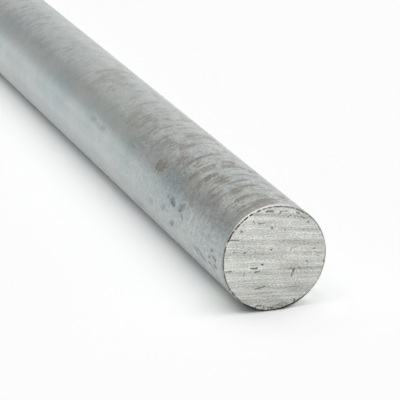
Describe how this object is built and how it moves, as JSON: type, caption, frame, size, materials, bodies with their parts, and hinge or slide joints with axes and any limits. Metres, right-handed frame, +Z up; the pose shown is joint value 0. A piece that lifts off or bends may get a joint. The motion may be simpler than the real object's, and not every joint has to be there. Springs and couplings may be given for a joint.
{
  "type": "round metal bar",
  "caption": "Straight length of solid hot-rolled round steel bar with a dark mill-scale skin and bright, square-sawn ends.",
  "frame": {"origin": "on the floor plane, under the middle of the bar's length and width", "axes": "+X along the bar's axis, towards the sawn end that faces the viewer; +Z up from the floor; +Y across the bar"},
  "size_m": [0.5, 0.02, 0.02],
  "materials": {
    "bar_steel": "hot-rolled mill scale, blue-grey, with bare sawn ends"
  },
  "bodies": {
    "root": {"round_bar": "bar_steel"}
  },
  "joints": []
}
